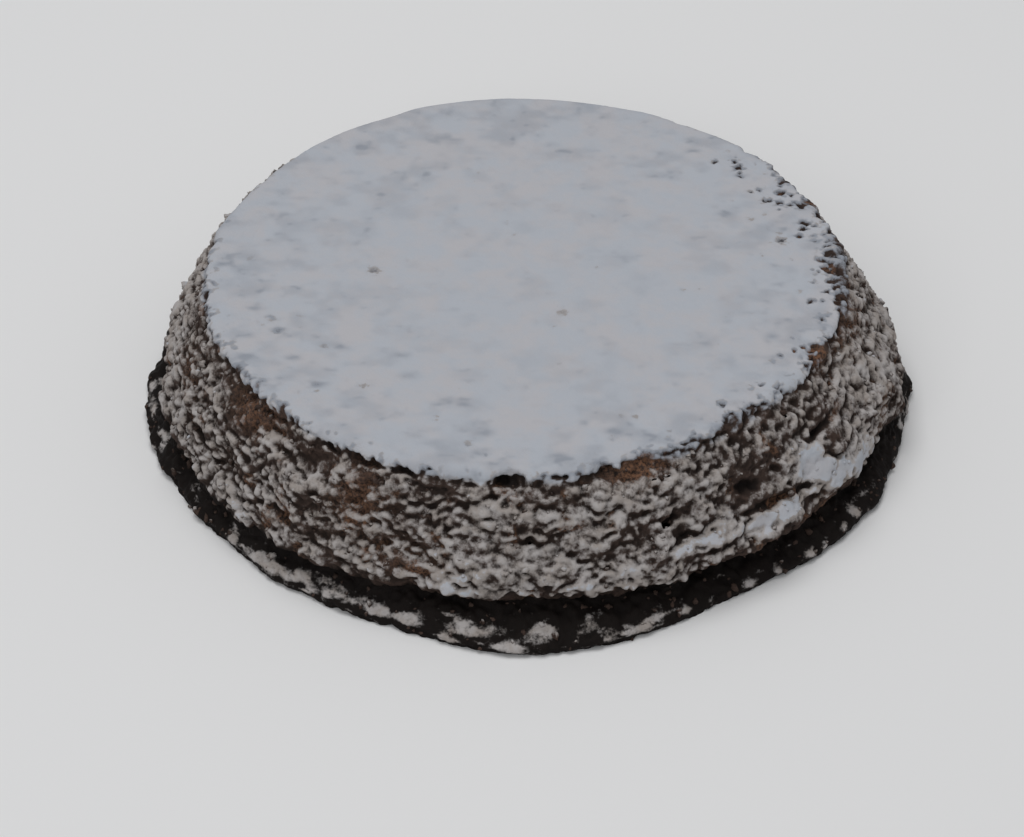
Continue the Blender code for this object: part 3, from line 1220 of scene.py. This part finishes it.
@dataclass(frozen=True)
class CrumbFinish:
    """Dark chocolate crumb, dusted where the piece's own "cover" says so."""

    # The painted shade's colour, which the crumb turns to in hollows, notches, pits and at the foot.
    deep: Colour = (0.0080, 0.0062, 0.0056)
    plain: Colour = (0.080, 0.053, 0.043)
    chip: Colour = (0.190, 0.098, 0.058)
    patch_size: float = 0.0060
    grain_size: float = 0.0010
    bump_strength: float = 0.6
    bump_height: float = 0.0005
    gloss: float = 0.10
    powder: Powder = Powder()

    def material(self) -> bpy.types.Material:
        """Colours the crumb by noise, darkens it by the painted shade in the piece's own numbers, browns the
        chips, then dusts it.

        Returns:
            The material.
        """
        shader = Shader("chocolate_crumb_dusted")
        patchy = shader.noise(self.patch_size, 3.0).step(0.35, 0.70)
        grain = shader.noise(self.grain_size, 3.0, 0.65)
        # The piece's own numbers carry painted shade, which pulls the crumb towards the dark shade colour.
        shade = (patchy * 0.40 + grain * 1.2 - 0.08) * shader.attribute("painted_lit_share")
        crumb = shader.mix(shade, self.deep, self.plain)
        browned = shader.attribute("chip") * (grain.step(0.30, 0.75) * 1.3 - 0.1)
        crumb = shader.mix(browned, crumb, self.chip)
        colour, dusted, powder = self.powder.over(shader, crumb)
        rough = shader.bump(grain * 0.6 + powder * 0.4, self.bump_strength, self.bump_height)
        return shader.dress(colour, 0.74 + 0.22 * dusted, rough, self.gloss)


@dataclass(frozen=True)
class SugarFinish:
    """Icing sugar in a closed layer, with dark crumb at the bottom of its pits."""

    crumb: Colour = (0.066, 0.064, 0.070)
    bump_strength: float = 0.45
    bump_height: float = 0.0003
    gloss: float = 0.15
    powder: Powder = Powder()

    def material(self) -> bpy.types.Material:
        """Lays the powder on the crumb's colour.

        Returns:
            The material.
        """
        shader = Shader("icing_sugar_powder")
        colour, _, powder = self.powder.over(shader, self.crumb)
        grain = powder * 0.7 + shader.noise(self.powder.fleck_size, 2.0) * 0.3
        rough = shader.bump(grain, self.bump_strength, self.bump_height)
        return shader.dress(colour, 0.88 + 0.10 * powder, rough, self.gloss)


@dataclass
class Side:
    """The crumb from the foot up the wall and over the edge, with the sugar caught on it."""

    outline: Outline
    crumb: Crumb = field(default_factory=Crumb)
    snow: Snow = field(default_factory=Snow)
    foot_relief_share: float = 0.55
    top_relief_share: float = 0.05
    worn_edge: Swell = Swell(-42, 0, 0.055, 1, 0.0050)
    edge_heights: tuple[float, float] = (0.0455, 0.0485)
    fan_inset: float = 0.0015
    sunk_ring: float = 0.0030
    sunk_share: float = 0.97
    underside_rings: tuple[float, ...] = (0.25, 0.60, 0.97)
    browned: tuple[Swell, ...] = (
        Swell(-69.3, 0.0462, 0.0100, 0.0034, 1.3),
        Swell(-23.4, 0.0495, 0.0050, 0.0034, 1.1),
        Swell(-142.0, 0.0425, 0.0130, 0.0050, 0.8),
        Swell(-117.0, 0.0360, 0.0090, 0.0085, 0.7),
        Swell(-108.0, 0.0205, 0.0150, 0.0050, 0.4),
        Swell(-163.0, 0.0330, 0.0100, 0.0070, 0.5),
        Swell(-8.0, 0.0430, 0.0200, 0.0060, 0.6),
        Swell(-35.0, 0.0150, 0.0070, 0.0040, 0.5),
    )

    def __post_init__(self) -> None:
        """Works out the grid, its crumb and its sugar."""
        outline, form, snow = self.outline, self.outline.form, self.snow
        turn = np.arange(outline.columns) * 360.0 / outline.columns - 180.0
        self.azimuth, self.height = np.meshgrid(turn, outline.heights)
        self.along = np.broadcast_to(outline.along[:, None], self.height.shape)
        radius = np.broadcast_to(outline.radii[:, None], self.height.shape)
        coarse = form.place(self.azimuth, radius, self.height)
        own = facing(coarse)
        own[..., 2] *= smooth_step(0.0, 0.002, self.height)
        own_share = smooth_step(0.103, 0.108, self.along)[..., None]
        turned = outline.lean(self.azimuth, self.along)
        push = unit(turned * (1 - own_share) + unit(own) * own_share)
        notch = notched(coarse, self.azimuth, self.height)
        self.rise = self.crumb.rise(coarse, self.azimuth, self.height, notch) * self.relief_share(coarse)
        bare = coarse + push * self.rise[..., None]
        soft = facing(coarse + push * blurred(self.rise, 1.6, 1.2)[..., None])
        self.cover = snow.cover(bare, self.rise, soft, self.azimuth, self.height, self.along, notch)
        on_top = smooth_step(*self.edge_heights, self.height)
        pit = snow.pitted(coarse[..., 0], coarse[..., 1]) * on_top
        self.cover = self.cover - snow.pit_loss * pit
        self.points = self.sugared(coarse, push, pit, on_top)
        self.outward = facing(self.points)
        self.tone(coarse, notch, pit, on_top)
        on_wall = (self.height > WALL_FOOT) & (self.height < WALL_TOP)
        for name, values in (("relief", self.rise[on_wall]), ("cover", self.cover[on_wall])):
            LOG.info("%s: mean %.5f, spread %.5f", name, values.mean(), values.std())

    def sugared(
        self, coarse: np.ndarray, push: np.ndarray, pit: np.ndarray, on_top: np.ndarray
    ) -> np.ndarray:
        """The surface with its sugar on it, nowhere below the floor.

        It is the crumb's relief, blurred a little where sugar lies and more where it is thick, plus
        the sugar's thickness, less the pits.

        Args:
            coarse: Places on the coarse form.
            push: The directions that the relief goes in.
            pit: How deep the top's pits are.
            on_top: 1 on the top and the edge, 0 on the wall.

        Returns:
            The points.
        """
        snow = self.snow
        lying = smooth_step(0.0, 1.0, self.cover)
        filled = self.rise + 0.45 * lying * (blurred(self.rise, 2.0, 1.5) - self.rise)
        thick = 0.65 * smooth_step(1.1, 2.1, self.cover)
        filled = filled + thick * (blurred(self.rise, 7.0, 5.0) - filled)
        level = filled + snow.thickness * lying + snow.lift(coarse) * on_top - snow.pit_depth * pit
        points = coarse + push * level[..., None]
        points[0, :, 2] = 0.0
        points[..., 2] = np.maximum(points[..., 2], 0.0)
        return points

    def tone(self, coarse: np.ndarray, notch: np.ndarray, pit: np.ndarray, on_top: np.ndarray) -> None:
        """Works out what the material reads: the painted shade on the crumb, how brown it is, and dull sugar.

        The crumb is darkened as painted shade in hollows, in notches and in pits, and most at the foot,
        where the darkening is painted shade and painted dark reflection. It is browner at the named
        chips and in spots of noise. Sugar is dull where it is smudged, pitted or thin.

        Args:
            coarse: Places on the coarse form.
            notch: The notches' strength there.
            pit: How deep the top's pits are.
            on_top: 1 on the top and the edge, 0 on the wall.
        """
        # Painted shade: the crumb's colour is darkened in hollows between crumbs, at the foot, in notches and
        # in pits.
        hollow = smooth_step(-0.0007, 0.0004, self.rise - blurred(self.rise, 5.0, 3.6))
        foot = smooth_step(0.0135, 0.0100, self.height)
        self.painted_lit_share = (0.30 + 0.70 * hollow) * (1 - 0.95 * foot) * (1 - 0.95 * np.minimum(notch, 1.0))
        self.painted_lit_share = self.painted_lit_share * (1 - 0.45 * np.minimum(pit, 1.0))
        spots = smooth_step(0.42, 0.70, self.snow.patches.smooth(coarse + 2.1, 0.0050)) * (1 - foot)
        self.chip = added(self.browned, self.azimuth, self.height) + 0.7 * spots
        thinning = smooth_step(1.5, 0.6, self.cover)
        self.smudge = np.minimum(self.snow.smudged(coarse) + pit + thinning, 1.0) * on_top

    def relief_share(self, coarse: np.ndarray) -> np.ndarray:
        """How much of the crumb's relief shows: little on the top, which lay on the tin, and all on the wall.

        Args:
            coarse: Places on the coarse form.

        Returns:
            Shares from 0 to 1.
        """
        border = self.snow.border(self.azimuth, coarse)
        worn = self.worn_edge.over(self.azimuth, np.zeros_like(self.azimuth), girth_radius=0.1)
        past = self.along - border
        full = np.clip((past + 0.0035 + worn) / (0.0060 + worn), 0.0, 1.0)
        faint = self.top_relief_share * smooth_step(0.0890, 0.0930, self.along)
        on_foot = 1 - smooth_step(0.003, 0.009, self.height)
        return np.maximum(faint, full * full * (3 - 2 * full)) * (1 - (1 - self.foot_relief_share) * on_foot)

    def band(self, name: str, first: int, last: int, material: bpy.types.Material) -> bpy.types.Object:
        """One band of the side, from one row to another, closed by a shallow cone above and below.

        The lowest band has the flat underside in place of the cone below. Above the groove, a cone
        starts from a ring sunk down and in from the band's highest row, so that no hole reaches it.

        Args:
            name: The piece's name.
            first: Its lowest row.
            last: Its highest row.
            material: The crumb's material.

        Returns:
            The piece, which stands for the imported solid.
        """
        columns = self.outline.columns
        rows = slice(first, last + 1)
        lowest = first == 0
        rim = self.points[:1]
        under = [rim * np.array([s, s, 0.0]) for s in self.underside_rings] if lowest else []
        drawn_in = np.array([self.sunk_share, self.sunk_share, 1.0])
        sunk = self.points[last : last + 1] * drawn_in - np.array([0.0, 0.0, self.sunk_ring])
        over = [] if lowest else [sunk]
        grid = np.concatenate([*under, self.points[rows], *over])
        low = 0.0 if lowest else float(self.points[first, :, 2].mean()) + self.fan_inset
        high = float(grid[-1, :, 2].mean()) - self.fan_inset
        ends = np.array([[0.0, 0.0, low], [0.0, 0.0, high]])
        surface = Surface(np.concatenate([grid.reshape(-1, 3), ends]))
        count = len(grid) * columns
        surface.add_faces(self.outline.quads(len(grid)))
        surface.add_faces(self.outline.fan(0, count, upward=False))
        surface.add_faces(self.outline.fan(len(grid) - 1, count + 1, upward=True))
        blank, hidden = len(under) * columns, len(over) * columns
        down_up = np.array([[0.0, 0.0, -1.0], [0.0, 0.0, 1.0]])
        outward = [np.tile(down_up[:1], (blank, 1)), self.outward[rows].reshape(-1, 3)]
        outward += [np.tile(down_up[1:], (hidden, 1)), down_up]
        piece = surface.make(name, material, Slot.CRUMB, np.concatenate(outward))
        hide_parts(NODE)
        shown = {"cover": self.cover, "painted_lit_share": self.painted_lit_share, "chip": self.chip, "smudge": self.smudge}
        for key, missing in (("cover", -1.2), ("painted_lit_share", 0.75), ("chip", 0.0), ("smudge", 0.0)):
            values = [np.full(blank, missing), shown[key][rows].ravel(), np.full(hidden + 2, missing)]
            mark(piece, key, np.concatenate(values))
        return piece

    def build(self, material: bpy.types.Material) -> None:
        """Makes the bands, from the foot to the edge."""
        counts = [rows for _, _, rows in self.outline.stretches]
        splits = [0, *np.cumsum(counts[:3]).tolist(), len(self.outline.radii) - 1]
        names = ("crumb_foot", "crumb_low", "crumb_high", "crumb_edge")
        for name, first, last in zip(names, splits, splits[1:]):
            self.band(name, first, last, material)


@dataclass
class TopSugar:
    """The closed sheet of sugar over the top, on a square grid bent to a disc."""

    side: Side
    steps: int = 300
    under_edge: float = 0.0004
    sunk: float = 0.00006
    skirt_depth: float = 0.0040
    skirt_share: float = 0.97

    def disc(self) -> tuple[np.ndarray, np.ndarray]:
        """A square grid bent to a disc: each ring of a square becomes a circle.

        Returns:
            The azimuth of each grid point, and its length from the centre.
        """
        line = np.linspace(-1.0, 1.0, self.steps)
        a, b = np.meshgrid(line, line)
        wide = np.abs(a) >= np.abs(b)
        ring = np.where(wide, a, b)
        safe = np.where(ring == 0, 1.0, ring)
        turn = np.where(wide, (np.pi / 4) * (b / safe), np.pi / 2 - (np.pi / 4) * (a / safe))
        x, y = ring * np.cos(turn), ring * np.sin(turn)
        reach = self.side.outline.inner_radius + self.under_edge
        return np.degrees(np.arctan2(y, x)), reach * np.hypot(x, y)

    def make(self, material: bpy.types.Material) -> bpy.types.Object:
        """Lays the sheet: it swells softly, dips into pits, and its rim sinks just under the side's.

        A skirt goes down from the rim before a cone closes it, so that no pit reaches the cone.

        Args:
            material: The sugar's material.

        Returns:
            The piece, closed below.
        """
        snow, outline = self.side.snow, self.side.outline
        azimuth, along = self.disc()
        height = np.full_like(along, outline.form.height)
        base = outline.form.place(azimuth, along, height)
        pit = snow.pitted(base[..., 0], base[..., 1])
        cover = snow.sheet(base) - snow.pit_loss * pit
        lying = smooth_step(0.0, 1.0, cover)
        rim = smooth_step(outline.inner_radius - 0.0001, outline.inner_radius + self.under_edge, along)
        level = snow.thickness * lying + snow.lift(base) - snow.pit_depth * pit - self.sunk * rim
        points = base + np.stack([0 * level, 0 * level, level], axis=-1)
        outward = unit(np.cross(np.gradient(points, axis=1), np.gradient(points, axis=0)))
        row, column = np.meshgrid(np.arange(self.steps - 1), np.arange(self.steps - 1), indexing="ij")
        here = row * self.steps + column
        line, last = np.arange(self.steps), self.steps - 1
        south, east = line[:-1], line[:-1] * self.steps + last
        north, west = (last * self.steps + line)[:0:-1], (line * self.steps)[:0:-1]
        rim = np.concatenate([south, east, north, west])
        points = points.reshape(-1, 3)
        drawn_in = np.array([self.skirt_share, self.skirt_share, 1.0])
        skirt = points[rim] * drawn_in - np.array([0.0, 0.0, self.skirt_depth])
        inside = [[0.0, 0.0, outline.form.height - 2 * self.skirt_depth]]
        surface = Surface(np.concatenate([points, skirt, inside]))
        below = len(points) + np.arange(len(rim))
        after, below_after = np.roll(rim, -1), np.roll(below, -1)
        centre = np.full(len(rim), len(points) + len(rim))
        surface.add_faces(np.stack([here, here + 1, here + self.steps + 1, here + self.steps], axis=-1))
        surface.add_faces(np.stack([below, below_after, after, rim], axis=-1))
        surface.add_faces(np.stack([below_after, below, centre], axis=-1))
        hidden = len(rim) + 1
        outward = np.concatenate([outward.reshape(-1, 3), np.tile([[0.0, 0.0, -1.0]], (hidden, 1))])
        piece = surface.make("sugar_top", material, Slot.SUGAR, outward)
        smudge = np.minimum(snow.smudged(base) + pit, 1.0)
        mark(piece, "cover", np.concatenate([cover.ravel(), np.ones(hidden)]))
        mark(piece, "smudge", np.concatenate([smudge.ravel(), np.zeros(hidden)]))
        return piece


@dataclass
class Lumps:
    """Many small lumps joined in one mesh, each a ball of a few dozen faces bent by noise."""

    name: str
    slot: Slot
    seed: int
    count: int
    least: float
    most: float
    sunk: float
    columns: int = 8
    rings: int = 4
    stretches: tuple[float, float] = (0.68, 1.30)
    fewer_large: float = 1.8
    unevenness: float = 0.90
    barer: float = 0.50

    def ball(self) -> tuple[np.ndarray, list[np.ndarray]]:
        """One ball: rings of equal turns between two poles.

        Returns:
            The unit ball's vertices, and its faces as blocks of vertex numbers.
        """
        lean = np.pi * np.arange(1, self.rings + 1) / (self.rings + 1)
        turn = 2 * np.pi * np.arange(self.columns) / self.columns
        lean, turn = np.meshgrid(lean, turn, indexing="ij")
        ring = np.stack([np.sin(lean) * np.cos(turn), np.sin(lean) * np.sin(turn), -np.cos(lean)], axis=-1)
        points = np.concatenate([ring.reshape(-1, 3), [[0, 0, -1.0], [0, 0, 1.0]]])
        row, column = np.meshgrid(np.arange(self.rings - 1), np.arange(self.columns), indexing="ij")
        after = (column + 1) % self.columns
        here, up = row * self.columns, (row + 1) * self.columns
        sides = np.stack([here + column, here + after, up + after, up + column], axis=-1).reshape(-1, 4)
        first = np.arange(self.columns)
        after = (first + 1) % self.columns
        top = (self.rings - 1) * self.columns
        south = np.full(self.columns, self.rings * self.columns)
        low = np.stack([after, first, south], axis=-1)
        high = np.stack([top + first, top + after, south + 1], axis=-1)
        return points, [sides, np.concatenate([low, high])]

    def scatter(self, side: Side, chances: np.ndarray, material: bpy.types.Material) -> bpy.types.Object:
        """Sets the lumps on places of the side picked by chance, and dusts their upper faces.

        Each is stretched along its own three axes, turned, and pushed in or out by smooth noise of
        the direction from its middle. A vertex's cover is its place's, plus a share of how far it
        lies above the lump's middle.

        Args:
            side: The surface they cling to.
            chances: How likely each of its points is.
            material: The lumps' material.

        Returns:
            The piece.
        """
        draw = np.random.default_rng(self.seed)
        flat = chances.ravel() / chances.sum()
        picked = draw.choice(flat.size, self.count, replace=False, p=flat)
        centre = side.points.reshape(-1, 3)[picked]
        facing_out = side.outward.reshape(-1, 3)[picked]
        size = self.least * (self.most / self.least) ** (draw.random(self.count) ** self.fewer_large)
        axes = draw.uniform(*self.stretches, (self.count, 1, 3)) * size[:, None, None]
        ball, blocks = self.ball()
        turned = np.linalg.qr(draw.normal(size=(self.count, 3, 3)))[0]
        turned[:, :, 0] *= np.linalg.det(turned)[:, None]
        bent = Lattice(self.seed).smooth(ball[None] * 1.3 + 45.0 * draw.random((self.count, 1, 3)), 1.0)
        shapes = (ball[None] * (1 + self.unevenness * bent[..., None]) * axes) @ turned
        middle = centre + facing_out * (size * (0.6 - self.sunk))[:, None]
        points = middle[:, None] + shapes
        points[..., 2] = np.maximum(points[..., 2], 0.0001)
        surface = Surface(points)
        start = (np.arange(self.count) * len(ball))[:, None, None]
        for block in blocks:
            surface.add_faces(start + block[None])
        piece = surface.make(self.name, material, self.slot)
        over = 0.8 * shapes[..., 2] / size[:, None]
        mark(piece, "cover", side.cover.ravel()[picked][:, None] + over - self.barer)
        mark(piece, "painted_lit_share", np.ones(over.shape))
        return piece


@dataclass
class Studio:
    """A pale floor, soft light from above, and the camera."""

    floor_radius: float = 4.0
    opening: float = 0.1130
    floor_colour: Colour = (0.86, 0.86, 0.86)
    sky_colour: Colour = (0.97, 0.98, 1.0)
    sky_strength: float = 0.34
    focal_length: float = 160.53
    pitch: float = 37.9346
    roll: float = 0.6504
    eye: tuple[float, float, float] = (-0.00565, -1.16025, 0.89884)

    def floor(self) -> None:
        """A flat ring round the cake; its opening, which the cake covers, lets light reach the underside."""
        count = 96
        turn = 2 * np.pi * np.arange(count) / count
        circle = np.stack([np.cos(turn), np.sin(turn), 0 * turn], axis=-1)
        points = np.concatenate([self.opening * circle, self.floor_radius * circle])
        here = np.arange(count)
        after = (here + 1) % count
        mesh = bpy.data.meshes.new("floor")
        faces = np.stack([here, here + count, after + count, after], axis=-1)
        mesh.from_pydata(points.tolist(), [], faces.tolist())
        shader = Shader("floor_plain")
        shader.feed(shader.principled.inputs["Base Color"], self.floor_colour)
        shader.feed(shader.principled.inputs["Roughness"], 0.9)
        mesh.materials.append(shader.material)
        piece = bpy.data.objects.new("floor", mesh)
        bpy.context.scene.collection.objects.link(piece)

    def area(self, name: str, place: tuple[float, float, float], size: float, power: float) -> None:
        """One square light that faces the cake.

        Args:
            name: The light's name.
            place: Where it stands.
            size: Its width.
            power: Its power in watts.
        """
        data = bpy.data.lights.new(name, "AREA")
        data.shape = "SQUARE"
        data.size = size
        data.energy = power
        lamp = bpy.data.objects.new(name, data)
        bpy.context.scene.collection.objects.link(lamp)
        away = unit(np.array(place, dtype=float))
        side = unit(np.cross((0.0, 1.0, 0.001), away))
        columns = [*side, 0], [*np.cross(away, side), 0], [*away, 0], [*place, 1]
        lamp.matrix_world = Matrix(columns).transposed()

    def lights(self) -> None:
        """A broad light overhead, a softer one in front, and an even grey sky."""
        self.area("light_above", place=(-0.15, 0.20, 1.9), size=1.3, power=15.0)
        self.area("light_front", place=(-0.7, -1.7, 1.5), size=1.2, power=8.0)
        world = bpy.data.worlds.new("sky")
        world.use_nodes = True
        background = world.node_tree.nodes["Background"].inputs
        background["Color"].default_value = (*self.sky_colour, 1.0)
        background["Strength"].default_value = self.sky_strength
        bpy.context.scene.world = world

    def camera(self) -> None:
        """A long lens, in front and above, rolled a little."""
        data = bpy.data.cameras.new("camera")
        data.lens = self.focal_length
        data.sensor_width = 36.0
        data.clip_end = 50.0
        lean, tilt = math.radians(self.pitch), math.radians(self.roll)
        right = np.array([1.0, 0.0, 0.0])
        ahead = np.array([0.0, math.cos(lean), -math.sin(lean)])
        down = np.cross(ahead, right)
        across = math.cos(tilt) * right - math.sin(tilt) * down
        below = math.sin(tilt) * right + math.cos(tilt) * down
        columns = [*across, 0], [*-below, 0], [*-ahead, 0], [*self.eye, 1]
        eye = bpy.data.objects.new("camera", data)
        bpy.context.scene.collection.objects.link(eye)
        eye.matrix_world = Matrix(columns).transposed()
        bpy.context.scene.camera = eye

    def build(self) -> None:
        """Sets up the floor, the lights and the camera."""
        self.floor()
        self.lights()
        self.camera()
        bpy.context.scene.view_settings.view_transform = "Standard"


def main() -> None:
    """Builds the cake's pieces in order."""
    logging.basicConfig(level=logging.INFO, format="%(name)s: %(message)s")
    form = CakeForm()
    LOG.info("form: middle moved by %.5f, %.5f", *form.middle)
    crumb = CrumbFinish().material()
    sugar = SugarFinish().material()
    side = Side(Outline(form))
    side.build(crumb)
    TopSugar(side).make(sugar)
    on_wall = smooth_step(0.0480, 0.0460, side.height)
    ledge = 0.2 + smooth_step(0.1, 0.8, side.outward[..., 2])
    bits = Lumps("crumb_bits", Slot.CRUMB, seed=5, count=1100, least=0.00040, most=0.0012, sunk=0.70)
    bits.scatter(side, on_wall * ledge, crumb)
    Studio().build()


if __name__ == "__main__":
    main()
